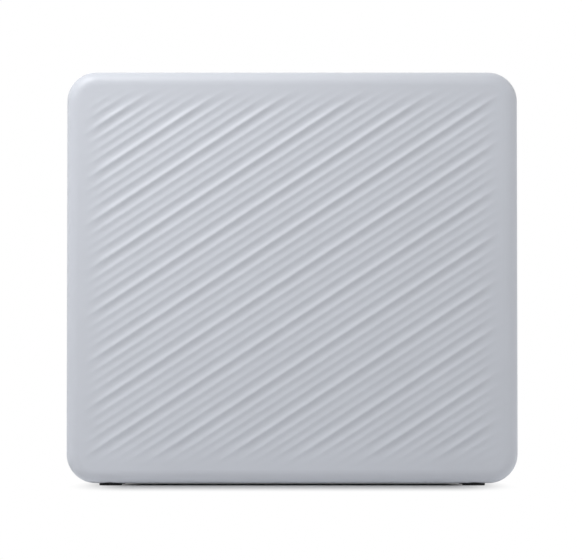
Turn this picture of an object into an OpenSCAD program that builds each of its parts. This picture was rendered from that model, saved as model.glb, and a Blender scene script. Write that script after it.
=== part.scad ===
// Compact instant photo printer: a flat upright slab with a fluted front, a film door on its back,
// an exit slot on top, and the film drive, print head, board and battery inside.
// Millimetres. X is the width, Y runs from the front (-Y) to the back (+Y), Z is up from the table.

/* [Body] */
// Width of the body
body_w = 139; // [136:0.5:142]
// Height from the table to the top
body_h = 127.5; // [125:0.5:130]
// Depth over front and back
body_d = 33.7; // [33.7:0.1:35]
// Radius of the four corners seen from the front
corner_r = 9; // [8.5:0.5:11]
// Rounding of the front edge
front_edge_r = 4; // [3:0.5:4.5]
// Rounding of the back edge
back_edge_r = 2.5; // [1.5:0.5:3]
// Thickness of the case walls
wall = 2; // [1.8:0.1:2.2]
// Height of the rubber feet below the case
foot_h = 0.7; // [0.5:0.1:1]

/* [Fluted front] */
// Angle of the flutes above the horizontal
flute_angle = 33.1; // [25:0.1:40]
// Distance between two high crests
crest_pitch = 11.9; // [10:0.1:14]
// Depth from the high crests down to the lowest crest between them
crest_drop = 0.26; // [0.1:0.02:0.3]
// Depth of the deepest flute below its two crests
flute_depth = 0.46; // [0.2:0.02:0.5]
// Plain border outside the flutes
border_w = 4.2; // [4.2:0.2:8]
// Width over which the flutes fade in
fade_w = 9.6; // [6:0.2:12]

/* [Film] */
// Width of the film pack bay
bay_w = 114.5; // [114:0.5:115]
// Height of the film pack bay
bay_h = 94; // [93:0.5:94]
// Width of the exit slot
slot_w = 110; // [109:0.5:111]

/* [Drive] */
// Radius of the two developer rollers
roller_r = 3.95; // [3.9:0.01:3.95]
// Travel of the film pick slider
pick_stroke = 12; // [8:0.5:12]
// Tooth module of the reduction gears
drive_module = 0.7; // [0.7:0.1:0.7]

/* [Battery] */
// Width of the battery
battery_w = 40; // [36:0.5:40]
// Height of the battery
battery_h = 54; // [40:1:54]
// Thickness of the battery
battery_t = 6; // [5:0.5:6]

/* [Hidden] */
$fn = 64;
eps = 0.01;

// Case
front_y = -body_d / 2;
back_y = body_d / 2;
seam_y = -4.6;                          // joint between the front cover and the rear case
case_mid_z = (foot_h + body_h) / 2;
case_h = body_h - foot_h;
inner_x = body_w / 2 - wall;
floor_top_z = foot_h + wall;
side_x = body_w / 2;
lip_t = 0.9;                            // tongue round the rear case that locates the front cover
lip_h = 1.2;
fit_gap = 0.05;

// Film door, hinged along its lower edge
door_t = 2.4;
door_x = 62.2;
door_gap = 0.3;
hinge_r = 2.65;
hinge_y = back_y - hinge_r;
hinge_z = 7.4;
door_z = [hinge_z - hinge_r, 118.7];
door_inner_y = back_y - door_t;
knuckle_x = [59, 62.2];
hinge_pin_r = 1;
hinge_pin_x = [59.6, 66.4];
door_corner_r = 4.7;
window_x = -28;
window_z = [48, 72];
window_r = 4;
latch_z = [105, 110.5];
latch_travel = 2.5;
liner_y = [13.2, 14.4];

// Film bay and the frame round it
frame_t = 1.4;
bay_x = bay_w / 2;
bay_z = [7, 7 + bay_h];
floor_y = -3;                           // the film pack lies on this face
frame_x = bay_x + frame_t;
cheek_top_z = 121;
ear_at = [62, 12, 120];                 // corner screws: across, low, high

// Flap under the exit slot: its axis lies in front of the slot
flap_axis = [-4.3, 118.9];
flap_r = 0.8;

// Rollers
nip_y = -0.8;
roller_z = 112;
roller_gap = 0.1;
drive_y = nip_y + roller_gap / 2 + roller_r;
press_y = nip_y - roller_gap / 2 - roller_r;
roller_x = 54.5;
journal_r = 1.5;
journal_x = 61.6;
bush_r = 2.6;
running_gap = 0.04;

// Gears: tooth counts, and the three layers that they run in, outwards from the frame
pinion_teeth = 12;
roller_teeth = 16;
gear_two_teeth = 26;
gear_one_teeth = 28;
cam_teeth = 24;
end_teeth = 16;
end_module = (drive_y - press_y) / end_teeth;
pressure_angle = 25;
backlash = 0.06;
layer_a = [-61.6, -59.6];
layer_b = [-63.7, -61.9];
layer_c = [-65.8, -64.0];
axle_r = 1;
gear_plate_x = [-67.1, -66.1];

function pitch_r(teeth) = teeth * drive_module / 2;
function rise(dy, distance) = sqrt(distance * distance - dy * dy);

roller_at = [drive_y, roller_z];
gear_two_at = roller_at - [4.2, rise(4.2, pitch_r(roller_teeth + pinion_teeth))];
gear_one_at = gear_two_at - [-2.5, rise(2.5, pitch_r(gear_two_teeth + pinion_teeth))];
motor_at = gear_one_at - [11.2, rise(11.2, pitch_r(gear_one_teeth + pinion_teeth))];
cam_at = gear_one_at - [-3, rise(3, pitch_r(cam_teeth + pinion_teeth))];

// Rotation that puts gear b in mesh with gear a: both are seen along X, with Y across and Z up
function bearing(a, b) = atan2(b[1] - a[1], b[0] - a[0]);
function meshed(a, b, teeth_a, teeth_b, turn_a) =
    bearing(a, b) + 180 - (180 - teeth_a * (bearing(a, b) - turn_a)) / teeth_b;

gear_two_turn = meshed(roller_at, gear_two_at, roller_teeth, pinion_teeth, 0);
gear_one_turn = meshed(gear_two_at, gear_one_at, gear_two_teeth, pinion_teeth, 0);
pinion_turn = meshed(gear_one_at, motor_at, gear_one_teeth, pinion_teeth, 0);
cam_turn = meshed(gear_one_at, cam_at, pinion_teeth, cam_teeth, gear_one_turn);
press_end_turn = meshed([drive_y, roller_z], [press_y, roller_z], end_teeth, end_teeth, 0);

// Motor
motor_x = [-57.6, -42];
motor_r = 6;
motor_flat = 5;
shaft_r = 0.75;

// Film pick slider
slider_y = [-6.3, -5.1];
slider_x = [-57, -50];
slider_z = [14, 62];
guide_x = -53.5;
guide_z = [38, 54];
guide_r = 1;
spring_peg_z = 42;

// Board
board_y = [-8.4, -7.4];
board_x = [-4, 64];
board_z = [16, 98];
board_wing = [-35.5, 66];               // left end and foot of the wing beside the motor
board_holes = [[2, 21], [57, 22], [2, 92], [-30, 92]];
side_part_y = -9.65;                    // middle of the switches and the socket on the board's edge
usb_z = 34;
reset_z = 46;
button_z = 88;
button_y = -9.4;
button_r = 2.75;
ring_r = 3.45;

// Battery
battery_x = [-47.5, -47.5 + battery_w];
battery_y = [-12.4, -12.4 + battery_t];
battery_z = [4.5, 4.5 + battery_h];
lid_x = [-49, -6.7];
lid_y = [-12.5, -6.3];
lid_pin_r = 0.8;
lid_hinge = [-49, foot_h + 1.05];       // across, up
lid_t = 1.8;

// Feet
foot_r = 3.5;
foot_x = 56;
foot_y = [-10.5, 11];
foot_sunk = 0.8;

// ---------------------------------------------------------------- shared shapes

// The pair of values that lie so far before and after a middle
function around(middle, span) = [middle + span[0], middle + span[1]];

// A box from pairs of low and high values
module block(x, y, z)
    translate([x[0], y[0], z[0]]) cube([x[1] - x[0], y[1] - y[0], z[1] - z[0]]);

module rod_x(x, y, z, r) translate([x[0], y, z]) rotate([0, 90, 0]) cylinder(h = x[1] - x[0], r = r);
module rod_y(y, x, z, r) translate([x, y[0], z]) rotate([-90, 0, 0]) cylinder(h = y[1] - y[0], r = r);
module rod_z(z, x, y, r) translate([x, y, z[0]]) cylinder(h = z[1] - z[0], r = r);

// A hole with round ends, cut along Y: r is half its width
module slot_y(y, x, z, r) {
    rod_y(y, x, z[0] + r, r);
    rod_y(y, x, z[1] - r, r);
    block([x - r, x + r], y, [z[0] + r, z[1] - r]);
}

module both_sides() {
    children();
    mirror([1, 0, 0]) children();
}

// A drawing with Y across and Z up, extruded along X
module along_x(x) translate([x[0], 0, 0]) rotate([90, 0, 90]) linear_extrude(x[1] - x[0]) children();

// A drawing with X across and Z up, extruded along Y
module along_y(y) translate([0, y[1], 0]) rotate([90, 0, 0]) linear_extrude(y[1] - y[0]) children();

// Section across the edge of a slab: x runs outwards to r, y from the front to the back
module edge_section(r, d, front, back) {
    translate([0, front]) square([r, d - front - back]);
    if (front > 0) {
        square([r - front, front]);
        translate([r - front, front]) intersection() {
            circle(front);
            translate([0, -front]) square(front);
        }
    }
    if (back > 0) {
        translate([0, d - back]) square([r - back, back]);
        translate([r - back, d - back]) intersection() {
            circle(back);
            square(back);
        }
    }
}

// An upright slab with round corners, and round front and back edges
module slab(w, h, y, r, front, back) {
    dx = w / 2 - r;
    dz = h / 2 - r;
    translate([0, 0, case_mid_z]) {
        block([-dx, dx], y, [-dz, dz]);
        for (flip = [0, 1]) mirror([flip, 0, 0])
            translate([dx, y[0], -dz]) linear_extrude(2 * dz) edge_section(r, y[1] - y[0], front, back);
        for (flip = [0, 1]) mirror([0, 0, flip])
            translate([dx, y[0], dz]) rotate([0, -90, 0])
                linear_extrude(2 * dx) edge_section(r, y[1] - y[0], front, back);
        for (side = [0, 1], up = [0, 1]) mirror([side, 0, 0]) mirror([0, 0, up])
            translate([dx, y[0], -dz]) rotate([-90, 0, 0])
                rotate_extrude(angle = 90) edge_section(r, y[1] - y[0], front, back);
    }
}

// The outline of the body seen from the front, taken in by a margin
module body_outline(margin) {
    w = body_w - 2 * margin;
    h = case_h - 2 * margin;
    r = max(corner_r - margin, 0.5);
    translate([0, case_mid_z]) {
        square([w - 2 * r, h], center = true);
        square([w, h - 2 * r], center = true);
        for (sx = [-1, 1], sz = [-1, 1]) translate([sx * (w / 2 - r), sz * (h / 2 - r)]) circle(r);
    }
}

// A tube swept along points, with square ends: for wound springs and short leads.
// Its rings are turned by a direction that the tube never runs along, given for each point.
function cross_unit(a, b) = let (c = cross(a, b)) c / norm(c);
function tangent(p, i) =
    let (a = p[max(i - 1, 0)], b = p[min(i + 1, len(p) - 1)]) (b - a) / norm(b - a);
module swept_tube(points, r, sides, ups) {
    rings = [for (i = [0 : len(points) - 1])
        let (t = tangent(points, i), u = cross_unit(t, ups[i]), v = cross(t, u))
        for (k = [0 : sides - 1]) points[i] + r * (cos(360 * k / sides) * u + sin(360 * k / sides) * v)];
    last = (len(points) - 1) * sides;
    walls = [for (i = [0 : len(points) - 2], k = [0 : sides - 1], half = [0, 1])
        let (a = i * sides + k, b = i * sides + (k + 1) % sides)
        half == 0 ? [a, a + sides, b + sides] : [a, b + sides, b]];
    near_end = [for (k = [1 : sides - 2]) [0, k, k + 1]];
    far_end = [for (k = [1 : sides - 2]) [last, last + k + 1, last + k]];
    polyhedron(rings, concat(near_end, walls, far_end));
}

// A coil spring standing on Z, of so many turns: one unbroken tube, whose ends run straight
// for one diameter and stand square on their seats
function coil_points(r, wire, length, turns) =
    let (steps = turns * 8, low = 2 * wire, high = length - 2 * wire)
    concat([[r, 0, 0]],
           [for (i = [0 : steps]) [r * cos(45 * i), r * sin(45 * i), low + (high - low) * i / steps]],
           [[r, 0, length]]);

// Least clear space between one turn and the next, measured from point to point
function turn_gap(points, wire) =
    min([for (i = [1 : len(points) - 10]) norm(points[i + 8] - points[i])]) - 2 * wire;

module coil_z(r, wire, length, turns) {
    points = coil_points(r, wire, length, turns);
    echo(least_gap_between_turns = turn_gap(points, wire));
    swept_tube(points, wire, 6, [for (p = points) [p[0], p[1], 0]]);
}

// Involute spur gear, drawn with a tooth centred on its x axis
function involute(a) = tan(a) * 180 / PI - a;
function tooth_half(teeth, m, r) =
    let (pr = teeth * m / 2, base = pr * cos(pressure_angle), flank = acos(min(1, base / max(r, base))))
    90 / teeth - backlash / pr * 180 / PI + involute(pressure_angle) - involute(flank);
function gear_points(teeth, m, turn) =
    let (pr = teeth * m / 2, base = pr * cos(pressure_angle), root = pr - 1.2 * m, tip = pr + 0.9 * m,
         radii = [root, max(base, root + 0.05), (max(base, root) + pr) / 2, pr, (pr + tip) / 2, tip])
    [for (k = [0 : teeth - 1], side = [-1, 1], i = [0 : 5])
        let (r = radii[side < 0 ? i : 5 - i], a = turn + 360 * k / teeth + side * tooth_half(teeth, m, r))
        r * [cos(a), sin(a)]];

module gear(x, at, teeth, m, turn)
    translate([0, at[0], at[1]]) along_x(x) polygon(gear_points(teeth, m, turn));

// A pan-head cross-slot screw along Y: its head sits on the seat, on the side away from the tip
module screw_y(seat, tip, x, z, r, head_r, head_h) {
    away = tip > seat ? -1 : 1;
    ends = tip > seat ? [seat, tip] : [tip, seat];
    head = away < 0 ? [seat - head_h, seat] : [seat, seat + head_h];
    difference() {
        union() {
            rod_y(ends, x, z, r);
            rod_y(head, x, z, head_r);
        }
        deep = away < 0
            ? [seat - head_h - eps, seat - head_h / 2]
            : [seat + head_h / 2, seat + head_h + eps];
        for (turn = [0, 90]) translate([x, 0, z]) rotate([0, turn, 0])
            block([-head_r * 0.6, head_r * 0.6], deep, [-0.2, 0.2]);
    }
}

// ---------------------------------------------------------------- front cover

// Crest lines across the flutes: a high one, then three low ones, in shares of the pitch and of the drop
crest_shares = [0, 0.283, 0.502, 0.723];
crest_levels = [0, 0.73, 1, 0.9];
flute_shares = [0.93, 0.53, 0.54, 1];   // depth of each flute, in shares of the deepest
flute_steps = 5;

// Depth of the fluted face below its high crests, at a share of one pitch
function flute_index(s) = s < crest_shares[1] ? 0 : s < crest_shares[2] ? 1 : s < crest_shares[3] ? 2 : 3;
function flute_dip(s) =
    let (i = flute_index(s), a = crest_shares[i], b = i < 3 ? crest_shares[i + 1] : 1,
         t = (s - a) / (b - a), low = crest_levels[i], next = i < 3 ? crest_levels[i + 1] : 0)
    crest_drop * (low * (1 - t) + next * t) + 4 * flute_depth * flute_shares[i] * t * (1 - t);

fade_depth = 0.66;                      // deeper than the deepest flute
corner_cut = 3.9;                       // off each corner of the fluted field, beside the rounded corner

// A shallow pan in the front face: deep in the middle, and rising to nothing at its half width
// and half height
module fade_pan(half_w, half_h) {
    past = fade_w / fade_depth;
    translate([0, front_y, case_mid_z]) polyhedron(
        [for (level = [[-fade_w, fade_depth], [past, -1]], c = [[-1, -1], [1, -1], [1, 1], [-1, 1]])
            [c[0] * (half_w + level[0]), level[1], c[1] * (half_h + level[0])]],
        [[0, 1, 2, 3], [7, 6, 5, 4], [0, 4, 5, 1], [1, 5, 6, 2], [2, 6, 7, 3], [3, 7, 4, 0]]);
}

// The space cut away in front of the flutes, as deep as the fade allows
module flute_cut() {
    reach = 96;
    first = -floor(reach / crest_pitch);
    crest_offset = 0.48;                // the high crest nearest the middle lies this far above it
    skim = 0.03;                        // even the high crests sit this far below the plain border
    wave = [for (k = [first : -first - 1], i = [0 : 3], j = [0 : flute_steps - 1])
        let (a = crest_shares[i], b = i < 3 ? crest_shares[i + 1] : 1, s = a + (b - a) * j / flute_steps)
        [crest_offset + (k + s) * crest_pitch, front_y + skim + flute_dip(s)]];
    ahead = [[wave[len(wave) - 1][0], front_y - 1], [wave[0][0], front_y - 1]];
    field_w = body_w / 2 - border_w;
    field_h = case_h / 2 - border_w;
    diagonal = (field_w + field_h - corner_cut) / sqrt(2);
    intersection() {
        translate([0, 0, case_mid_z]) rotate([0, -flute_angle, 0])
            translate([-reach, 0, 0]) rotate([90, 0, 90]) linear_extrude(2 * reach)
                polygon([for (p = concat(wave, ahead)) [p[1], p[0]]]);
        fade_pan(field_w, field_h);
        translate([0, 0, case_mid_z]) rotate([0, 45, 0]) translate([0, 0, -case_mid_z])
            fade_pan(diagonal, diagonal);
    }
}

module front_cover() color([0.76, 0.77, 0.80]) {
    difference() {
        slab(body_w, case_h, [front_y, seam_y], corner_r, front_edge_r, 0);
        slab(body_w - 2 * wall, case_h - 2 * wall, [front_y + wall, seam_y + 1],
             corner_r - wall, front_edge_r - wall, 0);
        along_y([seam_y - lip_h - fit_gap, seam_y + 1]) body_outline(wall - lip_t - fit_gap);
        flute_cut();
        rod_x([side_x - wall - 1, side_x + 1], button_y, button_z, ring_r + fit_gap);
        block([side_x - wall - 1, side_x + 1],
              around(side_part_y, [-1.7, 1.7]), around(usb_z, [-4.2, 4.2]));
        rod_x([side_x - wall - 1, side_x + 1], side_part_y, reset_z, 0.6);
        battery_opening();
        for (sx = [-1, 1]) rod_z([0, foot_h + foot_sunk], sx * foot_x, foot_y[0], foot_r + fit_gap);
    }
    for (sx = [-1, 1], z = [ear_at[1], ear_at[2]]) difference() {
        rod_y([front_y + wall - 0.5, floor_y - frame_t], sx * ear_at[0], z, 2.6);
        rod_y([-12, 0], sx * ear_at[0], z, 0.8);
    }
}

// Opening for the battery lid in the bottom of the front cover, with the bores for its two stub pins
module battery_opening() {
    block([lid_hinge[0] - 1.3, lid_x[1] + 0.3], [lid_y[0] - 0.2, lid_y[1] + 0.2], [0, floor_top_z + 1]);
    rod_y([lid_y[0] - 1, lid_y[1] + 1], lid_hinge[0], lid_hinge[1], lid_pin_r + running_gap);
}

// ---------------------------------------------------------------- rear case

module door_outline(margin) {
    w = door_x - margin;
    top = door_z[1] - margin;
    r = door_corner_r - margin;
    translate([-w, hinge_z]) square([2 * w, top - r - hinge_z]);
    translate([-w + r, hinge_z]) square([2 * (w - r), top - hinge_z]);
    for (sx = [-1, 1]) translate([sx * (w - r), top - r]) circle(r);
}

module rear_case() color([0.77, 0.78, 0.81]) difference() {
    union() {
        difference() {
            slab(body_w, case_h, [seam_y, back_y], corner_r, 0, back_edge_r);
            slab(body_w - 2 * wall, case_h - 2 * wall, [seam_y - 1, back_y - wall],
                 corner_r - wall, 0, back_edge_r - wall);
        }
        difference() {
            along_y([seam_y - lip_h, seam_y + 0.5]) body_outline(wall - lip_t);
            along_y([seam_y - lip_h - 1, seam_y + 1]) body_outline(wall);
        }
        // hinge bosses beside the door, and posts for the two screws in the bottom
        intersection() {
            both_sides() block([62.9, inner_x + 0.5], [10.8, back_y - wall + 0.5], [3.5, 11]);
            along_y([10, back_y]) body_outline(wall / 2);
        }
        both_sides() difference() {
            rod_z([floor_top_z - 0.5, bay_z[0] - frame_t], 40, 6, 2.6);
            rod_z([0, 9], 40, 6, 1.1);
        }
    }
    along_y([back_y - wall - 0.5, back_y + 1]) door_outline(-door_gap);
    block([-door_x - door_gap, door_x + door_gap], [back_y - wall - 0.5, back_y + 1],
          [door_z[0] - door_gap, hinge_z + 1]);
    both_sides() rod_x([62, hinge_pin_x[1] + 0.2], hinge_y, hinge_z, hinge_pin_r + running_gap);
    block([-slot_w / 2 - 0.7, slot_w / 2 + 0.7], [bezel_y[0] - fit_gap, bezel_y[1] + fit_gap],
          [body_h - wall - 1, body_h + 1]);
    block(around(lid_hinge[0], [-2, 2]), [seam_y - lip_h - 1, seam_y], [0, floor_top_z + 1]);
    both_sides() {
        rod_z([0, foot_h + foot_sunk], foot_x, foot_y[1], foot_r + fit_gap);
        rod_z([0, foot_h + 1], 40, 6, 2.1);
        rod_z([0, 9], 40, 6, 1.1);
    }
}

module feet() color([0.12, 0.12, 0.13])
    for (sx = [-1, 1], y = foot_y) rod_z([0, foot_h + foot_sunk], sx * foot_x, y, foot_r);

module case_screws() color([0.55, 0.56, 0.58]) both_sides() translate([40, 6, foot_h + 0.2]) difference() {
    union() {
        cylinder(h = 0.8, r = 1.9);
        cylinder(h = 5.9, r = 1);
    }
    for (turn = [0, 90]) rotate(turn) block([-1.1, 1.1], [-0.2, 0.2], [-1, 0.4]);
}

// ---------------------------------------------------------------- film door

latch_pocket_z = [103, 115];
module film_door() color([0.76, 0.77, 0.80]) difference() {
    union() {
        along_y([door_inner_y, back_y]) door_outline(0);
        intersection() {
            rod_x([-door_x, door_x], hinge_y, hinge_z, hinge_r);
            block([-door_x, door_x], [door_inner_y, back_y + 1], [0, hinge_z]);
        }
        both_sides() rod_x(knuckle_x, hinge_y, hinge_z, hinge_r);
        both_sides() latch_rail();
    }
    rod_x([-hinge_pin_x[1], hinge_pin_x[1]], hinge_y, hinge_z, hinge_pin_r);
    slot_y([door_inner_y - 1, back_y + 1], window_x, window_z, window_r);
    block([-11, 11], [back_y - 1.3, back_y + 1], latch_pocket_z);
    block([-3.2, 3.2], [door_inner_y - 1, back_y], [latch_z[0] - 0.3, latch_z[1] + latch_travel + 0.3]);
}

// One of the two rails that hold the latch slider behind the door
module latch_rail() {
    block([9.2, 11], [12.2, door_inner_y + 0.3], latch_pocket_z);
    block([8, 11], [12.2, 12.8], latch_pocket_z);
}

module door_liner() color([0.10, 0.10, 0.11]) difference() {
    union() {
        block([-56, 56], liner_y, [13, 100]);
        for (x = [-50, -22, 22, 50])
            block(around(x, [-0.6, 0.6]), around(liner_y[0], [-0.4, 0.3]), [16, 97]);
    }
    slot_y([liner_y[0] - 2, liner_y[1] + 1], window_x, window_z + [-1, 1], window_r + 1);
    for (x = [-36, 36]) block([x - 1.2, x + 1.2], [0, liner_y[1] + 1], [22, 26]);
}

module door_window() color([0.35, 0.36, 0.38, 0.5])
    slot_y([liner_y[1], back_y - 0.25], window_x, window_z, window_r);

// A bowed strip that presses the film pack forward: height of the bow at a share of its length
leaf_z = [24, 84];
leaf_bow = 2.5;
leaf_t = 0.3;
pad_y = 9.6;
function bow(s) = leaf_bow * pow(sin(180 * s), 1.3);
module leaf_section() {
    steps = 24;
    length = leaf_z[1] - leaf_z[0];
    mid = [for (i = [0 : steps]) [liner_y[0] - bow(i / steps), leaf_z[0] + length * i / steps]];
    polygon(concat(mid, [for (i = [steps : -1 : 0]) mid[i] - [leaf_t, 0]]));
}

module pack_springs() color([0.72, 0.73, 0.75]) for (x = [-36, 36]) {
    along_x([x - 5, x + 5]) leaf_section();
    block([x - 1, x + 1], [liner_y[0] - 0.2, liner_y[1] - 0.2], [leaf_z[0] - 1.5, leaf_z[0] + 0.5]);
}

module pack_pads() color([0.14, 0.14, 0.15]) for (x = [-36, 36])
    difference() {
        rod_y([pad_y, liner_y[0] - leaf_bow - leaf_t], x, 54, 4);
        rod_y([pad_y - 1, pad_y + 0.3], x, 54, 2.2);
    }

module door_hinge_pins() color([0.72, 0.73, 0.75])
    both_sides() rod_x(hinge_pin_x, hinge_y, hinge_z, hinge_pin_r);

module door_latch() color([0.20, 0.21, 0.23]) {
    difference() {
        block([-7.5, 7.5], [back_y - 1.2, back_y - 0.1], latch_z);
        for (k = [0 : 4]) block([-6, 6], [back_y - 0.4, back_y], around(latch_z[0] + 0.75 + k, [0, 0.4]));
    }
    block([-3, 3], [14, back_y - 1.1], latch_z);
    block([-9, 9], [12.9, 14.25], [104, 116]);
    block([-5, 5], [12.9, 14.25], [115.5, 118.4]);
}

module light_seal() color([0.07, 0.07, 0.08]) {
    both_sides() block([bay_x, frame_x], [13.4, 14.4], [11, bay_z[1] + frame_t]);
    block([-bay_x, bay_x], [13.4, 14.4], [bay_z[1], bay_z[1] + frame_t]);
}

// ---------------------------------------------------------------- controls and socket

module power_button() color([0.80, 0.81, 0.84]) difference() {
    union() {
        rod_x([66.2, side_x - 0.15], button_y, button_z, button_r);
        rod_x([65.9, 66.7], button_y, button_z, button_r + 0.6);
    }
    rod_x([side_x - 0.3, side_x + 1], button_y, button_z, button_r - 0.9);
}

module button_light_ring() color([0.95, 0.96, 0.98, 0.7]) difference() {
    rod_x([67, side_x - 0.05], button_y, button_z, ring_r);
    rod_x([66, side_x + 1], button_y, button_z, button_r + 0.08);
}

module side_switch(z) {
    block([60.4, 64.2], [side_part_y - 1.2, board_y[0]], around(z, [-2.2, 2.2]));
    for (dz = [-1.6, 1.6]) block([59.8, 60.6], [board_y[0] - 0.3, board_y[0]], around(z + dz, [-0.3, 0.3]));
}

module power_switch() color([0.75, 0.76, 0.78]) {
    side_switch(button_z);
    rod_x([64.1, 65.2], side_part_y, button_z, 0.9);
}

module reset_switch() color([0.75, 0.76, 0.78]) difference() {
    side_switch(reset_z);
    rod_x([63, 65], side_part_y, reset_z, 0.55);
}

module reset_plunger() color([0.15, 0.15, 0.16]) rod_x([63.4, 65.4], side_part_y, reset_z, 0.5);

module usb_port() color([0.74, 0.75, 0.77]) {
    x = [61, 67.6];
    y = [side_part_y - 1.3, board_y[0]];
    z = around(usb_z, [-3.8, 3.8]);
    difference() {
        block(x, y, z);
        block([x[0] + 0.4, x[1] + 1], y + [0.3, -0.3], z + [0.3, -0.3]);
    }
    block([x[0] + 0.3, x[1] - 1], [side_part_y - 0.35, side_part_y + 0.25], around(usb_z, [-2.4, 2.4]));
}

// ---------------------------------------------------------------- frame

module cheek() {
    difference() {
        union() {
            block([bay_x, frame_x], [-13.6, 9.6], [bay_z[1] + frame_t - 0.5, cheek_top_z]);
            block([bay_x - seat_w, frame_x], [-13.6, spring_seat_y], around(roller_z, [-2.4, 2.4]));
        }
        block([bay_x - 1, frame_x + 1], [spring_seat_y, press_y + 2.9], [roller_z - 3, roller_z + 3]);
        rod_x([bay_x - 1, frame_x + 1], drive_y, roller_z, bush_r);
    }
}

module film_chamber() color([0.09, 0.09, 0.10]) difference() {
    union() {
        block([-frame_x, frame_x], [floor_y - frame_t, floor_y], [bay_z[0] - frame_t, bay_z[1] + frame_t]);
        both_sides()
            block([bay_x, frame_x], [floor_y - 0.5, 13.4], bay_z + [-frame_t, frame_t]);
        block([-frame_x, frame_x], [floor_y - 0.5, 13.4], [bay_z[0] - frame_t, bay_z[0]]);
        block([-frame_x, frame_x], [0.8, 13.4], [bay_z[1], bay_z[1] + frame_t]);
        both_sides() cheek();
        both_sides() for (z = [ear_at[1], ear_at[2]])
            block([frame_x - 0.5, 65], [floor_y - frame_t, floor_y], around(z, [-2.9, 2.9]));
        both_sides()
            block([bay_x, frame_x], [floor_y - frame_t, floor_y], [cheek_top_z - 1, ear_at[2] + 2.9]);
        for (h = board_holes) rod_y([board_y[1], floor_y - frame_t + 0.5], h[0], h[1], 2.4);
        // raised ledges in the corners of the bay, on which the film pack sits
        both_sides() for (z = [9, 96])
            block(around(bay_x, [-1.2, 0.3]), around(floor_y, [-0.3, 0.4]), around(z, [-1.5, 1.5]));
        block([-62.4, -frame_x + 0.5], [-6.8, floor_y], around(spring_peg_z, [-2, -0.4]));
    }
    rod_x([-frame_x - 1, frame_x + 1], hinge_y, hinge_z, hinge_r + 0.35);
    rod_x([-frame_x, frame_x], flap_axis[0], flap_axis[1], flap_r + running_gap);
    block([-55.4, -51.6], [floor_y - 2, floor_y + 1], [slider_z[0] - 0.5, slider_z[0] + 4 + pick_stroke]);
    both_sides() for (z = [ear_at[1], ear_at[2]]) rod_y([floor_y - 3, floor_y + 1], ear_at[0], z, 1.1);
    for (h = board_holes) rod_y([board_y[1] - 1, floor_y + 1], h[0], h[1], 0.8);
    both_sides() rod_z([0, foot_h + 6.1], 40, 6, 1);
    for (at = [gear_two_at, gear_one_at, cam_at]) rod_x([-frame_x - 1, -bay_x + 1], at[0], at[1], axle_r);
    for (z = guide_z) rod_y([floor_y - 2, floor_y + 1], guide_x, z, guide_r);
}

module frame_screws() color([0.55, 0.56, 0.58])
    for (sx = [-1, 1], z = [ear_at[1], ear_at[2]]) screw_y(floor_y, -11, sx * ear_at[0], z, 0.8, 1.7, 1.1);

module film_guide() color([0.16, 0.16, 0.17]) {
    block([-55, 55], [0.2, 1.0], [bay_z[1] + frame_t, 108.2]);
    for (x = [-45 : 15 : 45]) block([x - 0.5, x + 0.5], [0.9, 3.2], [bay_z[1] + frame_t, 105]);
}

// ---------------------------------------------------------------- exit slot

bezel_y = [-3.55, 2.15];
bezel_z = [122.2, body_h - 0.15];
module slot_bezel() color([0.10, 0.10, 0.11]) difference() {
    union() {
        block([-slot_w / 2 - 0.65, slot_w / 2 + 0.65], bezel_y, bezel_z);
        block([-slot_w / 2 - 2, slot_w / 2 + 2], bezel_y + [-0.9, 0.9], [bezel_z[0], body_h - wall]);
    }
    block([-slot_w / 2, slot_w / 2], bezel_y + [0.6, -0.6], [bezel_z[0] - 1, body_h + 1]);
}

module light_flap() color([0.08, 0.08, 0.09]) {
    rod_x([-frame_x + 0.2, frame_x - 0.2], flap_axis[0], flap_axis[1], flap_r);
    block([-54.8, 54.8], [flap_axis[0], 2.2], around(flap_axis[1], [-0.35, 0.25]));
}

// ---------------------------------------------------------------- rollers

module drive_roller() color([0.78, 0.79, 0.81]) {
    rod_x([-roller_x, roller_x], drive_y, roller_z, roller_r);
    rod_x([-journal_x, journal_x], drive_y, roller_z, journal_r);
}

module bored_gear(x, at, teeth, m, turn, bore) difference() {
    gear(x, at, teeth, m, turn);
    rod_x(x + [-1, 1], at[0], at[1], bore);
}

module roller_gear() color([0.90, 0.90, 0.86])
    bored_gear(layer_a, roller_at, roller_teeth, drive_module, 0, journal_r);

end_gear_x = [59.6, 61.4];
module drive_end_gear() color([0.90, 0.90, 0.86])
    bored_gear(end_gear_x, [drive_y, roller_z], end_teeth, end_module, 0, journal_r);

module pressure_roller() color([0.78, 0.79, 0.81]) {
    rod_x([-roller_x, roller_x], press_y, roller_z, roller_r);
    rod_x([-59.4, journal_x], press_y, roller_z, journal_r);
}

module pressure_end_gear() color([0.90, 0.90, 0.86])
    bored_gear(end_gear_x, [press_y, roller_z], end_teeth, end_module, press_end_turn, journal_r);

module roller_bushes() color([0.75, 0.60, 0.32]) both_sides() difference() {
    union() {
        rod_x([bay_x - 0.8, frame_x], drive_y, roller_z, bush_r);
        rod_x([bay_x - 0.8, bay_x], drive_y, roller_z, bush_r + 0.8);
    }
    rod_x([bay_x - 2, frame_x + 1], drive_y, roller_z, journal_r + running_gap);
}

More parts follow.
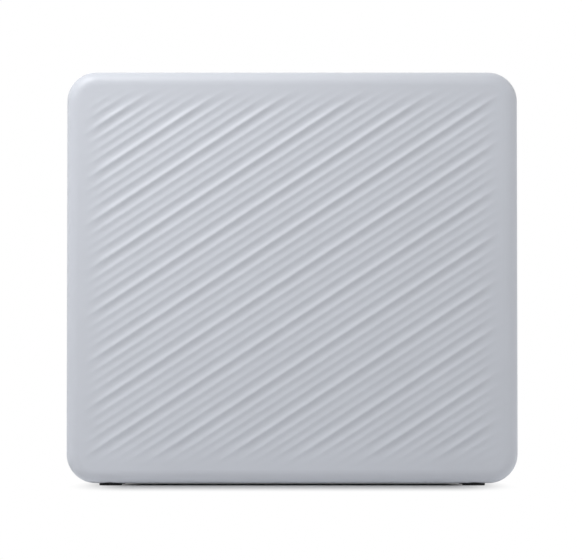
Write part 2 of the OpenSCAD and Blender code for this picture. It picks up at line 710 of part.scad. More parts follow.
block_y = around(press_y, [-2.6, 2.6]);
spring_seat_y = -12.6;
seat_w = 1.9;                           // how far the spring seats stand in from the cheeks
spring_x = bay_x - (seat_w - frame_t) / 2;
module bearing_blocks() color([0.85, 0.85, 0.82]) both_sides() difference() {
    union() {
        block([bay_x - seat_w, frame_x], around(block_y[0], [0, 1]), around(roller_z, [-2, 2]));
        block([bay_x, frame_x], block_y, around(roller_z, [-2.9, 2.9]));
        block([bay_x - 0.9, bay_x - 0.1], block_y, around(roller_z, [-3.6, 3.6]));
        block([bay_x - 0.5, frame_x], block_y, around(roller_z, [-2.6, 2.6]));
        rod_y([block_y[0] - 1.2, block_y[0] + 0.5], spring_x, roller_z, 0.6);
    }
    rod_x([bay_x - 2, frame_x + 1], press_y, roller_z, journal_r + running_gap);
}

module roller_springs() color([0.70, 0.71, 0.73]) both_sides()
    translate([spring_x, block_y[0] - 0.02, roller_z]) rotate([90, 0, 0])
        coil_z(1.2, 0.25, block_y[0] - spring_seat_y - 0.04, 3);

// ---------------------------------------------------------------- print head

head_z = [103, 107.6];
head_strip_x = [-50.8, 50.8];
module print_head_housing() color([0.11, 0.11, 0.12]) {
    difference() {
        block([-55, 55], [-12.4, -3.4], head_z);
        block([-51, 51], [-11.4, -2], head_z + [1.6, -1.6]);
        for (x = [-40 : 20 : 40]) block([x - 6, x + 6], [-11.2, -5], [head_z[1] - 0.8, head_z[1] + 1]);
    }
    both_sides() rod_x([54.5, bay_x], -8, 105.3, 1.3);
}

module lens_array() color([0.80, 0.86, 0.90, 0.6])
    block(head_strip_x, [-5.4, -2.2], head_z + [1.65, -1.65]);

module light_source_strip() color([0.85, 0.86, 0.80])
    block(head_strip_x, [-11.3, -10.3], head_z + [1.65, -1.65]);

module head_board() color([0.10, 0.32, 0.20]) {
    block([-53, 53], [-13.4, -12.4], head_z);
    for (x = [-44, -30, 36, 46]) block([x - 2.2, x + 2.2], [-14.1, -13.3], [104, 106.6]);
}

module head_cable() color([0.85, 0.80, 0.62]) along_x([10, 28])
    polygon([[-13.75, 106], [-13.4, 106], [-13.4, 101.5], [-10.4, 98.2], [-10.4, 93.5], [-10.75, 93.5],
             [-10.75, 98.4], [-13.75, 101.7]]);

// ---------------------------------------------------------------- drive

module motor_can() color([0.70, 0.71, 0.73]) difference() {
    intersection() {
        rod_x(motor_x, motor_at[0], motor_at[1], motor_r);
        block(motor_x, around(motor_at[0], [-motor_flat, motor_flat]),
              around(motor_at[1], [-motor_r, motor_r]));
    }
    rod_x(motor_x + [-1, 1], motor_at[0], motor_at[1], shaft_r + running_gap);
}

module motor_end_cap() color([0.92, 0.92, 0.90]) difference() {
    union() {
        intersection() {
            rod_x([motor_x[1], motor_x[1] + 1.6], motor_at[0], motor_at[1], motor_r - 0.4);
            block([motor_x[1], motor_x[1] + 2], around(motor_at[0], [-4.6, 4.6]),
                  around(motor_at[1], [-motor_r, motor_r]));
        }
        // two solder tags
        for (dz = [-4, 4])
            block(around(motor_x[1], [1.4, 2.4]), around(motor_at[0], [-3.3, -1.7]),
                  around(motor_at[1] + dz, [-0.2, 0.2]));
    }
    rod_x(motor_x + [10, 5], motor_at[0], motor_at[1], shaft_r + running_gap);
}

module motor_bracket() color([0.66, 0.67, 0.69]) difference() {
    union() {
        block([-58.5, -57.6], [-14.5, -4.6], [75.7, 92]);
        block([-58.5, -51], [-5.4, floor_y - frame_t], [88.2, 92]);
    }
    rod_x([-60, -57], motor_at[0], motor_at[1], 2);
    for (dz = [-4, 4]) rod_x([-60, -57], motor_at[0], motor_at[1] + dz, 0.6);
    rod_y([-6, -4], -54, 90.2, 1);
}

module motor_shaft() color([0.78, 0.79, 0.81])
    rod_x([layer_c[0], -36.2], motor_at[0], motor_at[1], shaft_r);

module motor_pinion() color([0.75, 0.62, 0.34])
    bored_gear(layer_c, motor_at, pinion_teeth, drive_module, pinion_turn, shaft_r);

encoder_x = [-37.5, -36.9];
module encoder_wheel() color([0.12, 0.12, 0.13]) difference() {
    union() {
        rod_x(encoder_x, motor_at[0], motor_at[1], 4.4);
        rod_x([encoder_x[0] - 0.8, encoder_x[1]], motor_at[0], motor_at[1], 1.5);
    }
    rod_x([-40, -35], motor_at[0], motor_at[1], shaft_r);
    for (k = [0 : 11]) translate([0, motor_at[0], motor_at[1]]) rotate([30 * k, 0, 0])
        block([-40, -35], [2.6, 3.9], [-0.35, 0.35]);
}

module encoder_sensor() color([0.13, 0.13, 0.14]) difference() {
    block([-39.4, -33], [-10.4, -5.2], [75.2, 79.6]);
    block([-38.4, -36], [-12, -4.6], [76.4, 81]);
    block([-36.5, -32], [board_y[0], board_y[1]], [70, 81]);
}

lead_r = 0.4;
lead_routes = [
    [[-39.6, -12.2, 77.7], [-39.2, -12.2, 77.7], [-38.85, -12.9, 78.4], [-38.9, -13.8, 80.5],
     [-38.9, -13.9, 84], [-38.5, -13.6, 86.6], [-36.5, -13.1, 88], [-33.5, -11.6, 87.6],
     [-31.6, -9.8, 86.9], [-30, -9.5, 86.8]],
    [[-39.6, -12.2, 85.7], [-39.2, -12.2, 85.7], [-38.7, -12.3, 86.2], [-37.2, -11.9, 87],
     [-34, -10.8, 86.4], [-31.6, -9.7, 85.4], [-30, -9.5, 85.2]]];
module motor_leads() {
    color([0.70, 0.12, 0.10]) swept_tube(lead_routes[1], lead_r, 8, [for (p = lead_routes[1]) [-1, 1, 0]]);
    color([0.10, 0.10, 0.11]) swept_tube(lead_routes[0], lead_r, 8, [for (p = lead_routes[0]) [-1, 1, 0]]);
}

// A compound wheel: a large gear in one layer and a small one in another, on a hub
module compound(at, big_x, big_teeth, small_x, small_turn) difference() {
    union() {
        gear(big_x, at, big_teeth, drive_module, 0);
        gear(small_x, at, pinion_teeth, drive_module, small_turn);
        rod_x([min(big_x[0], small_x[0]), max(big_x[1], small_x[1])], at[0], at[1], 2.2);
    }
    rod_x([-67, -58], at[0], at[1], axle_r + running_gap);
    for (k = [0 : 5]) translate([0, at[0], at[1]]) rotate([60 * k, 0, 0])
        rod_x(big_x + [-0.1, 0.1], 6.6, 0, 1.3);
}

module reduction_gear_one() color([0.92, 0.92, 0.88])
    compound(gear_one_at, layer_c, gear_one_teeth, layer_b, gear_one_turn);

module reduction_gear_two() color([0.90, 0.90, 0.86])
    compound(gear_two_at, layer_b, gear_two_teeth, layer_a, gear_two_turn);

cam_r = [3.4, 7];                       // base circle, and the top of the lobe
module cam_gear() color([0.30, 0.42, 0.62]) difference() {
    union() {
        gear(layer_b, cam_at, cam_teeth, drive_module, cam_turn);
        rod_x([layer_b[0], layer_a[1]], cam_at[0], cam_at[1], cam_r[0]);
        translate([0, cam_at[0], cam_at[1]]) along_x([layer_b[1] - 0.2, layer_a[1]])
            polygon([for (i = [0 : 35])
                let (a = 10 * i - 60, r = cam_r[0] + (cam_r[1] - cam_r[0]) * pow((1 - cos(10 * i)) / 2, 2))
                r * [cos(a), sin(a)]]);
    }
    rod_x([-67, -58], cam_at[0], cam_at[1], axle_r + running_gap);
}

module gear_axles() color([0.78, 0.79, 0.81])
    for (at = [gear_two_at, gear_one_at, cam_at]) rod_x([-67.1, -bay_x - 0.2], at[0], at[1], axle_r);

plate_posts = [[-11, 96], [11.6, 100], [-2, 68]];
module gear_plate() color([0.68, 0.69, 0.71]) difference() {
    union() {
        along_x(gear_plate_x) hull() {
            for (p = plate_posts) translate(p) circle(2.8);
            translate(cam_at) circle(4);
            translate(gear_two_at) circle(3.5);
        }
        for (p = [plate_posts[1], plate_posts[2]]) rod_x([gear_plate_x[0], -frame_x], p[0], p[1], 1.9);
        rod_x([gear_plate_x[0], -58.5], plate_posts[0][0], plate_posts[0][1], 1.9);
        block([-59.4, -57.6], [-12.8, floor_y - frame_t], around(plate_posts[0][1], [-1.9, 1.9]));
    }
    for (at = [gear_two_at, gear_one_at, cam_at]) rod_x([-68, -65], at[0], at[1], axle_r);
    rod_x([-68, -65], motor_at[0], motor_at[1], 1.6);
    for (p = plate_posts) rod_x([-68, -62], p[0], p[1], 0.8);
}

// ---------------------------------------------------------------- film pick

module pick_slider() color([0.80, 0.81, 0.82]) difference() {
    union() {
        block(slider_x, slider_y, slider_z);
        block([-61.4, slider_x[1]], slider_y, around(slider_z[1], [-6, 0]));
        block([-61.4, -59.6], slider_y, [slider_z[1] - 6, 86]);
        block([-61.4, -59.6], [slider_y[0], 0.2], [84.2, 86]);
        block([-55, -52], [slider_y[1] - 0.5, floor_y + 0.3], around(slider_z[0], [0, 3.5]));
    }
    for (z = guide_z)
        slot_y([-8, -4], guide_x, [z - pick_stroke - guide_r - 0.1, z + guide_r + 0.1], guide_r + 0.1);
}

module slider_guide_pins() color([0.72, 0.73, 0.75]) for (z = guide_z) {
    rod_y([-7, floor_y - 0.3], guide_x, z, guide_r);
    rod_y([-7, -6.4], guide_x, z, 1.8);
}

module pick_return_spring() color([0.70, 0.71, 0.73])
    translate([-60.6, -5.7, spring_peg_z - 0.4]) coil_z(1.3, 0.25, slider_z[1] - 6 - spring_peg_z + 0.4, 9);

// ---------------------------------------------------------------- electronics

module main_board() color([0.06, 0.28, 0.17]) difference() {
    union() {
        block(board_x, board_y, board_z);
        block([board_wing[0], board_x[0] + 1], board_y, [board_wing[1], board_z[1]]);
    }
    for (h = board_holes) rod_y([-9, -7], h[0], h[1], 1.1);
}

board_chips = [[14, 60, 11, 11], [32, 62, 9, 12], [14, 78, 7, 7], [48, 30, 6, 6], [40, 44, 5, 5],
               [-14, 80, 8, 6], [-20, 70, 4, 4], [12, 30, 5, 8]];
board_plugs = [[-26, 86, 8, 4], [4, 60, 4, 7], [52, 70, 8, 4]];
// A box on the front of the board: its middle, its width and height, and how far it stands out
module on_board(c, h)
    block(around(c[0], [-c[2], c[2]] / 2), around(board_y[0], [-h, 0]), around(c[1], [-c[3], c[3]] / 2));
module board_parts() color([0.13, 0.13, 0.14]) {
    for (c = board_chips) on_board(c, 1.1);
    for (c = board_plugs) on_board(c, 2.2);
    block([9, 29], around(board_y[0], [-2, 0]), [92.4, 95.8]);
    for (k = [0 : 9]) rod_y(around(board_y[0], [-1.4, 0]), 8 + 3.6 * (k % 5), 40 + 4.4 * floor(k / 5), 1.2);
}

module radio_module() color([0.74, 0.75, 0.77]) {
    block([38, 52], around(board_y[0], [-1.8, 0]), [74, 88]);
    block([39, 51], around(board_y[0], [-1, 0]), [88, 92]);
}

module board_screws() color([0.60, 0.61, 0.63])
    for (h = board_holes) screw_y(board_y[0], floor_y - 0.6, h[0], h[1], 0.8, 1.7, 1.1);

contact_x = [-39.9, -34.9, -29.9];   // left edge of each battery contact
module battery_pack() color([0.16, 0.17, 0.19]) difference() {
    block(battery_x, battery_y, battery_z);
    for (x = contact_x)
        block(around(x, [-0.1, 2.5]), battery_y + [1.6, -1.6], around(battery_z[1], [-0.5, 1]));
}

module battery_bay() color([0.13, 0.13, 0.14]) {
    x = battery_x + [-1.2, 1.2];
    y = [battery_y[0] - 1.1, battery_y[1] + 1.1];
    z = [3, battery_z[1] + 3.8];
    difference() {
        block(x, y, z);
        block(battery_x + [-0.2, 0.2], battery_y + [-0.2, 0.2], [z[0] - 1, z[1] - 1]);
        for (x = contact_x) block(around(x, [-0.1, 2.5]), battery_y + [1.4, -1.4], [z[1] - 2, z[1] + 1]);
    }
    for (dx = [12, 28]) block(around(battery_x[0] + dx, [-2, 2]), [y[1], floor_y - frame_t], [30, 36]);
}

module battery_contacts() color([0.85, 0.70, 0.35])
    for (x = contact_x)
        block(around(x, [0, 2.4]), battery_y + [1.7, -1.7], around(battery_z[1], [-0.3, 4.2]));

// The lid that closes the battery bay, hinged at its left end
module battery_door() color([0.75, 0.76, 0.79]) {
    difference() {
        union() {
            block([lid_hinge[0], lid_x[1]], lid_y, [foot_h, foot_h + lid_t]);
            rod_y(lid_y, lid_hinge[0], lid_hinge[1], 1.05);
            rod_y([lid_y[0] - 0.9, lid_y[1] + 0.9], lid_hinge[0], lid_hinge[1], lid_pin_r);
        }
        rod_z([0, foot_h + 0.6], lid_x[1] - 3.5, (lid_y[0] + lid_y[1]) / 2, 1.8);
    }
    // stiffening ribs inside
    for (x = [-36, -26, -16]) block([x, x + 1], lid_y + [1, -1], around(foot_h + lid_t, [-0.3, 1]));
}

// ---------------------------------------------------------------- one node, or all of them

front_cover();
rear_case();
feet();
case_screws();
film_door();
door_liner();
door_window();
pack_springs();
pack_pads();
door_hinge_pins();
door_latch();
light_seal();
power_button();
button_light_ring();
power_switch();
reset_switch();
reset_plunger();
usb_port();
film_chamber();
frame_screws();
film_guide();
slot_bezel();
light_flap();
drive_roller();
roller_gear();
drive_end_gear();
pressure_roller();
pressure_end_gear();
roller_bushes();
bearing_blocks();
roller_springs();
print_head_housing();
lens_array();
light_source_strip();
head_board();
head_cable();
motor_can();
motor_end_cap();
motor_bracket();
motor_shaft();
motor_pinion();
encoder_wheel();
encoder_sensor();
motor_leads();
reduction_gear_one();
reduction_gear_two();
cam_gear();
gear_axles();
gear_plate();
pick_slider();
slider_guide_pins();
pick_return_spring();
main_board();
board_parts();
radio_module();
board_screws();
battery_pack();
battery_bay();
battery_contacts();
battery_door();
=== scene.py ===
"""Looks of the compact photo printer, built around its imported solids."""

import math

import bmesh
import bpy
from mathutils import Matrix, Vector


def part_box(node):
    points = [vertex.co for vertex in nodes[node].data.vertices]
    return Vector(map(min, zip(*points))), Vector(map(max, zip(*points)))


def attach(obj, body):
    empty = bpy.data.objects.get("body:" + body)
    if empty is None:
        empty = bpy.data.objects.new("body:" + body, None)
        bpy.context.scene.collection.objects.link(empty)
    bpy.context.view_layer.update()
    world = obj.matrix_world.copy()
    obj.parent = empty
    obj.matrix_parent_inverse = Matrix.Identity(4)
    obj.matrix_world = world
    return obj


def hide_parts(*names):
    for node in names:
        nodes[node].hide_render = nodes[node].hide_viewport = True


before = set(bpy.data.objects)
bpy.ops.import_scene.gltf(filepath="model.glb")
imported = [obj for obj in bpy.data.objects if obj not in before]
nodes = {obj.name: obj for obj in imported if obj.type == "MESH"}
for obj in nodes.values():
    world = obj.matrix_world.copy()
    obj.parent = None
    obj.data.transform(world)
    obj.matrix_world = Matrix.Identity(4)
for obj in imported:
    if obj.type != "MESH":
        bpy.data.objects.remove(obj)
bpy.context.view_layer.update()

# Sizes in millimetres, as in the source of the solids: X is the width, Y runs to the back, Z is up
MM = 0.001
BODY_W = 139.0
BODY_H = 126.8  # without the feet
MID_Z = 64.1  # middle of the body
FRONT_Y = -16.85
SEAM_Y = -4.6  # joint between the front cover and the rear case
CORNER_R = 9.0  # of the outline seen from the front
EDGE_R = 4.0  # rounding of the front edge
ARC_X = BODY_W / 2 - CORNER_R  # middles of the corner arcs, from the middle of the front
ARC_Z = BODY_H / 2 - CORNER_R

# ---------------------------------------------------------------- materials


class Nodes:
    """Short names for building the node tree of a material or of the world.

    Lengths in it are in metres, and the scale of a pattern is its count per metre.
    """

    def __init__(self, owner):
        owner.use_nodes = True
        self.owner = owner
        self.tree = owner.node_tree
        self.shader = self.tree.nodes.get("Principled BSDF")
        spaces = self.add("ShaderNodeTexCoord").outputs
        self.coords = spaces["Object"]
        self.direction = spaces["Generated"]  # in the world

    def add(self, kind, inputs=None, **settings):
        node = self.tree.nodes.new(kind)
        for key, value in settings.items():
            setattr(node, key, value)
        for key, value in (inputs or {}).items():
            self.put(node.inputs[key], value)
        return node

    def put(self, socket, value):
        if isinstance(value, bpy.types.NodeSocket):
            self.tree.links.new(value, socket)
        else:
            socket.default_value = value

    def surface(self, colour, rough, bump=None, **more):
        """Feeds the shader, and takes the names in SOCKETS as well."""
        self.put(self.shader.inputs["Base Color"], colour)
        self.put(self.shader.inputs["Roughness"], rough)
        if bump is not None:
            self.put(self.shader.inputs["Normal"], bump)
        for name, value in more.items():
            self.put(self.shader.inputs[SOCKETS[name]], value)
        return self.owner

    def turned(self, angles):
        return self.add("ShaderNodeMapping", {"Vector": self.coords, "Rotation": angles}).outputs[0]

    def pattern(self, kind, scale, stretch, inputs):
        vector = self.coords
        if stretch is not None:
            vector = self.add("ShaderNodeMapping", {"Vector": self.coords, "Scale": stretch}).outputs[0]
        return self.add(kind, {"Vector": vector, "Scale": scale, **inputs}).outputs

    def noise(self, scale, detail, rough=0.5, stretch=None):
        inputs = {"Detail": detail, "Roughness": rough}
        return self.pattern("ShaderNodeTexNoise", scale, stretch, inputs)["Fac"]

    def cells(self, scale, stretch=None):
        """Distance to the middle of the nearest cell."""
        return self.pattern("ShaderNodeTexVoronoi", scale, stretch, {})["Distance"]

    def ramp(self, fac, stops):
        """Runs between two colours, each given with its place."""
        node = self.add("ShaderNodeValToRGB", {"Fac": fac})
        for element, (at, colour) in zip(node.color_ramp.elements, stops):
            element.position = at
            element.color = (*colour, 1)
        return node.outputs["Color"]

    def span(self, fac, low, high, start=0.0, end=1.0, **settings):
        """Carries start to end over to low to high."""
        inputs = {"Value": fac, "From Min": start, "From Max": end, "To Min": low, "To Max": high}
        return self.add("ShaderNodeMapRange", inputs, **settings).outputs["Result"]

    def math(self, operation, a, b=0.0):
        return self.add("ShaderNodeMath", {0: a, 1: b}, operation=operation).outputs[0]

    def mix(self, fac, a, b, **settings):
        node = self.add("ShaderNodeMix", data_type="RGBA", **settings)
        for socket, value in zip([node.inputs[0], node.inputs[6], node.inputs[7]], [fac, a, b]):
            self.put(socket, value)
        return node.outputs[2]

    def bump(self, height, distance, strength=1.0):
        inputs = {"Height": height, "Distance": distance, "Strength": strength}
        return self.add("ShaderNodeBump", inputs).outputs["Normal"]

    def shown(self):
        """1 for rays that show a surface: from the camera, in a reflection or through glass."""
        rays = self.add("ShaderNodeLightPath").outputs
        straight = self.math("MAXIMUM", rays["Is Camera Ray"], rays["Is Glossy Ray"])
        return self.math("MAXIMUM", straight, rays["Is Transmission Ray"])


SOCKETS = {
    "metallic": "Metallic", "specular": "Specular IOR Level", "clear": "Transmission Weight", "ior": "IOR",
}
BLACK = (0, 0, 0, 1)
WHITE = (1, 1, 1, 1)


def new_material(name):
    return Nodes(bpy.data.materials.new(name))


def shade(colour, factor):
    return tuple(min(1.0, c * factor) for c in colour)


def plastic(name, colour, rough, grain, count, spread, specular):
    """Moulded plastic: a fine eroded grain, darker in its hollows as painted shade, a slow drift of tone and
    a gloss that isn't even.

    grain is the depth of the grain in metres, count its cells per metre, spread the drift of tone.
    """
    n = new_material(name)
    slow = n.noise(38, detail=3)
    fine = n.noise(count, detail=2, rough=0.6)
    tone = n.ramp(slow, [(0.25, shade(colour, 1 - spread)), (0.75, shade(colour, 1 + spread))])
    # the grain is darker in its hollows, where its bump sinks: painted shade in the grain
    painted_grain_shade = n.ramp(fine, [(0.3, (0.93, 0.93, 0.93)), (0.7, (1.0, 1.0, 1.0))])
    gloss = n.span(n.noise(300, detail=3), rough - 0.05, rough + 0.05, 0.3, 0.7)
    toned = n.mix(0.5, tone, painted_grain_shade, blend_type="MULTIPLY")
    return n.surface(toned, gloss, n.bump(fine, grain), specular=specular)


def steel(name, colour, rough, along):
    """Metal with fine lines drawn out along its grain, and slight stains in its gloss."""
    n = new_material(name)
    lines = n.noise(9000, detail=3, rough=0.6, stretch=along)
    stain = n.noise(140, detail=3)
    tone = n.ramp(stain, [(0.3, shade(colour, 0.95)), (0.7, shade(colour, 1.04))])
    gloss = n.span(stain, rough - 0.03, rough + 0.04, 0.3, 0.7)
    return n.surface(tone, gloss, n.bump(lines, 0.000002), metallic=1.0)


def foam():
    """Open cells of a few tenths of a millimetre, darker in their hollows as painted shade."""
    n = new_material("open_foam")
    colour = (0.030, 0.030, 0.032)
    cell = n.cells(2600)
    # the cells are darker in their hollows, where the relief sinks: painted shade in the pores
    tone = n.ramp(cell, [(0.1, shade(colour, 0.4)), (0.6, shade(colour, 1.3))])
    relief = n.bump(n.math("ADD", cell, n.noise(9000, detail=2)), 0.00006, 0.8)
    return n.surface(tone, 0.95, relief, specular=0.2)


def circuit_board():
    """Green mask over copper: blocks of traces that run across or up, plain pours, and plated holes."""
    n = new_material("circuit_board")
    quarter = math.radians(90)
    lines = {
        "Scale": 1, "Mortar Size": 0.00011, "Mortar Smooth": 0.1, "Brick Width": 0.023, "Row Height": 0.00085,
        "Color1": BLACK, "Color2": BLACK, "Mortar": WHITE,
    }
    across, up = (
        n.add("ShaderNodeTexBrick", {"Vector": n.turned(angles), **lines}).outputs["Color"]
        for angles in [(quarter, 0, 0), (quarter, 0, quarter)]
    )
    blocks = n.add("ShaderNodeTexVoronoi", {"Vector": n.coords, "Scale": 95}, distance="CHEBYCHEV")
    choice = n.add("ShaderNodeSeparateColor", {"Color": blocks.outputs["Color"]}).outputs["Red"]
    runs = n.math(
        "MAXIMUM",
        n.math("MULTIPLY", n.math("LESS_THAN", choice, 0.36), across),
        n.math("MULTIPLY", n.math("GREATER_THAN", choice, 0.68), up),
    )
    pour = n.math("LESS_THAN", n.math("ABSOLUTE", n.math("SUBTRACT", choice, 0.52)), 0.16)
    hole = n.math("LESS_THAN", n.cells(330), 0.16)
    ground = n.mix(pour, (0.010, 0.070, 0.034, 1), (0.018, 0.100, 0.049, 1))
    mask = n.mix(runs, ground, (0.030, 0.150, 0.075, 1))
    cloud = n.ramp(n.noise(500, detail=3), [(0.35, (0.8, 0.8, 0.8)), (0.65, (1.0, 1.0, 1.0))])
    green = n.mix(1.0, mask, cloud, blend_type="MULTIPLY")
    relief = n.bump(n.math("ADD", runs, n.noise(2500, detail=2)), 0.00003, 0.6)
    colour = n.mix(hole, green, (0.62, 0.50, 0.22, 1))
    return n.surface(colour, n.span(hole, 0.28, 0.4), relief, metallic=n.math("MULTIPLY", hole, 0.9))


def flex_cable():
    """Amber polyimide with its row of conductors showing through."""
    n = new_material("flex_cable")
    spacing = 0.0009
    x = n.add("ShaderNodeSeparateXYZ", {"Vector": n.coords}).outputs["X"]
    wave = n.math("ABSOLUTE", n.math("SINE", n.math("MULTIPLY", x, math.pi / spacing)))
    copper = n.math("GREATER_THAN", wave, 0.55)
    colour = n.mix(copper, (0.42, 0.20, 0.045, 1), (0.55, 0.30, 0.10, 1))
    return n.surface(colour, 0.28, n.bump(copper, 0.00003))


def window_plastic():
    """Smoke-tinted clear plastic, moulded and not quite flat."""
    n = new_material("smoked_window")
    tint = n.ramp(n.noise(60, detail=2), [(0.3, (0.10, 0.10, 0.11)), (0.7, (0.13, 0.13, 0.14))])
    return n.surface(tint, 0.06, n.bump(n.noise(500, detail=1), 0.000006), clear=0.85, ior=1.49)


def light_guide():
    """Milky moulding that spreads the lamp behind it."""
    n = new_material("light_guide")
    milk = n.ramp(n.noise(900, detail=2), [(0.3, (0.80, 0.83, 0.86)), (0.7, (0.90, 0.92, 0.94))])
    return n.surface(milk, 0.32, n.bump(n.noise(4000, detail=2), 0.000004), clear=0.35)


def glass():
    """Rows of fine rods set side by side in a clear strip."""
    n = new_material("rod_lens_glass")
    rods = n.cells(2600, stretch=(1, 0.05, 1))
    tone = n.ramp(rods, [(0.1, (0.80, 0.86, 0.88)), (0.6, (0.45, 0.52, 0.55))])
    return n.surface(tone, 0.12, n.bump(rods, 0.00002), clear=0.5)


SHELL = (0.562, 0.584, 0.634)
TRIM = shade(SHELL, 0.97)
PLASTICS = {  # name, colour, roughness, depth and count of the grain, drift of tone, specular level
    "shell_plastic": ("satin_shell", SHELL, 0.47, 0.0000035, 5200, 0.012, 0.45),
    "trim_plastic": ("satin_trim", TRIM, 0.40, 0.000003, 5200, 0.015, 0.45),
    "black_plastic": ("black_moulding", (0.017, 0.017, 0.019), 0.5, 0.000010, 2600, 0.15, 0.4),
    "rubber": ("moulded_rubber", (0.022, 0.022, 0.023), 0.78, 0.000014, 2200, 0.12, 0.25),
    "flap_film": ("flap_film", (0.012, 0.012, 0.013), 0.36, 0.000003, 7000, 0.1, 0.4),
    "gear_acetal": ("natural_acetal", (0.74, 0.73, 0.68), 0.36, 0.000003, 4200, 0.03, 0.5),
    "cam_acetal": ("blue_acetal", (0.075, 0.125, 0.27), 0.36, 0.000003, 4200, 0.05, 0.5),
    "board_plastic": ("component_plastic", (0.030, 0.030, 0.032), 0.38, 0.000006, 3600, 0.25, 0.5),
    "lead_insulation": ("lead_insulation", (0.36, 0.020, 0.018), 0.42, 0.000004, 3000, 0.08, 0.45),
    "battery_skin": ("battery_skin", (0.045, 0.050, 0.060), 0.33, 0.000016, 700, 0.1, 0.45),
}
METALS = {  # name, colour, roughness, and the stretch of the lines, small along the grain
    "spring_steel": ("spring_steel", (0.56, 0.56, 0.58), 0.40, (1, 1, 0.06)),
    "ground_steel": ("ground_steel", (0.66, 0.66, 0.68), 0.18, (0.04, 1, 1)),
    "screw_steel": ("zinc_screw", (0.50, 0.50, 0.51), 0.34, (1, 1, 1)),
    "sheet_steel": ("rolled_sheet", (0.56, 0.56, 0.57), 0.36, (1, 1, 0.05)),
    "brass": ("brass", (0.72, 0.52, 0.22), 0.26, (0.1, 1, 1)),
}
MATERIALS = {
    "foam": foam(),
    "circuit_board": circuit_board(),
    "flex_cable": flex_cable(),
    "smoked_window": window_plastic(),
    "light_guide": light_guide(),
    "optic_glass": glass(),
}
MATERIALS.update({slot: plastic(*values) for slot, values in PLASTICS.items()})
MATERIALS.update({slot: steel(*values) for slot, values in METALS.items()})

for node in nodes.values():
    for place in node.material_slots:
        place.material = MATERIALS[place.material.name.split(".")[0]]

# ---------------------------------------------------------------- pieces


def finish_piece(name, bm, body, node, slot_name, sharp):
    """Makes the piece, with edges over that angle sharp, and puts it in the place of a solid."""
    mesh = bpy.data.meshes.new(name)
    bm.to_mesh(mesh)
    bm.free()
    mesh.shade_smooth()
    mesh.set_sharp_from_angle(angle=math.radians(sharp))
    mesh.materials.append(MATERIALS[slot_name])
    obj = bpy.data.objects.new(name, mesh)
    bpy.context.scene.collection.objects.link(obj)
    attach(obj, body)
    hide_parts(node)
    return obj


# ---------------------------------------------------------------- fluted front

TILT = math.radians(33.1)  # the flutes rise to the right
PITCH = 11.9  # from one high crest to the next
CREST_AT = 0.48  # the high crest nearest the middle lies this far above it
CRESTS = [0.0, 0.283, 0.502, 0.723, 1.0]  # places of the crests, in shares of the pitch
LEVELS = [0, 0.2, 0.28, 0.25, 0]  # depth of each crest below the high one
DEPTHS = [0.49, 0.28, 0.285, 0.53]  # depth of each flute below the line between its crests
SOFTNESS = 0.3  # by which the crests are rounded off
SKIM = 0.03  # the high crests would lie this far behind the front plane if they weren't rounded off
BORDER = 4.2  # plain border outside the flutes
FADE = 9.6  # width over which the flutes fade in
STEPS_PER_PITCH = 470
ROWS_PER_PITCH = 48
POINTS_PER_ROW = 56
CORNER_STEP = 6  # degrees between the rows that end in a rounded corner of the fluted field


def raw_dip(share):
    """Depth of the profile at a share of the pitch, with its crests still sharp."""
    share %= 1.0
    i = max(k for k in range(len(DEPTHS)) if CRESTS[k] <= share)
    t = (share - CRESTS[i]) / (CRESTS[i + 1] - CRESTS[i])
    level = LEVELS[i] * (1 - t) + LEVELS[i + 1] * t
    return level + 4 * DEPTHS[i] * t * (1 - t)


def rounded_dips():
    """The flute profile over one pitch with its crests rounded off."""
    raw = [raw_dip(k / STEPS_PER_PITCH) for k in range(STEPS_PER_PITCH)]
    reach = int(3 * SOFTNESS / PITCH * STEPS_PER_PITCH)
    near = range(-reach, reach + 1)
    weights = [math.exp(-0.5 * (k * PITCH / STEPS_PER_PITCH / SOFTNESS) ** 2) for k in near]
    total = sum(weights)
    return [
        sum(w * raw[(i + k) % STEPS_PER_PITCH] for w, k in zip(weights, near)) / total
        for i in range(STEPS_PER_PITCH)
    ]


DIPS = rounded_dips()
MEAN_DIP = sum(DIPS) / len(DIPS)
LEVEL = SKIM + MEAN_DIP  # the plain border lies level with the middle of the flutes


def dip(across):
    """Depth of the profile on the line that runs that far above the middle, along the flutes."""
    place = ((across - CREST_AT) / PITCH % 1.0) * len(DIPS)
    i = int(place)
    t = place - i
    return DIPS[i % len(DIPS)] * (1 - t) + DIPS[(i + 1) % len(DIPS)] * t


def inset_of(x, z):
    """How far a point lies inside the rounded outline of the front, with x and z from its middle."""
    ax = abs(x) - ARC_X
    az = abs(z) - ARC_Z
    if ax > 0 and az > 0:
        return CORNER_R - math.hypot(ax, az)
    return CORNER_R - max(ax, az)


def inset(vertex):
    """The same for a vertex of the cover."""
    return inset_of(vertex.co.x / MM, vertex.co.z / MM - MID_Z)


def front_depth(x, z):
    """y of the front face, with x and z from its middle."""
    t = min(1.0, max(0.0, (inset_of(x, z) - BORDER) / FADE))
    across = -x * math.sin(TILT) + z * math.cos(TILT)
    return FRONT_Y + LEVEL + t * t * (3 - 2 * t) * (dip(across) - MEAN_DIP)


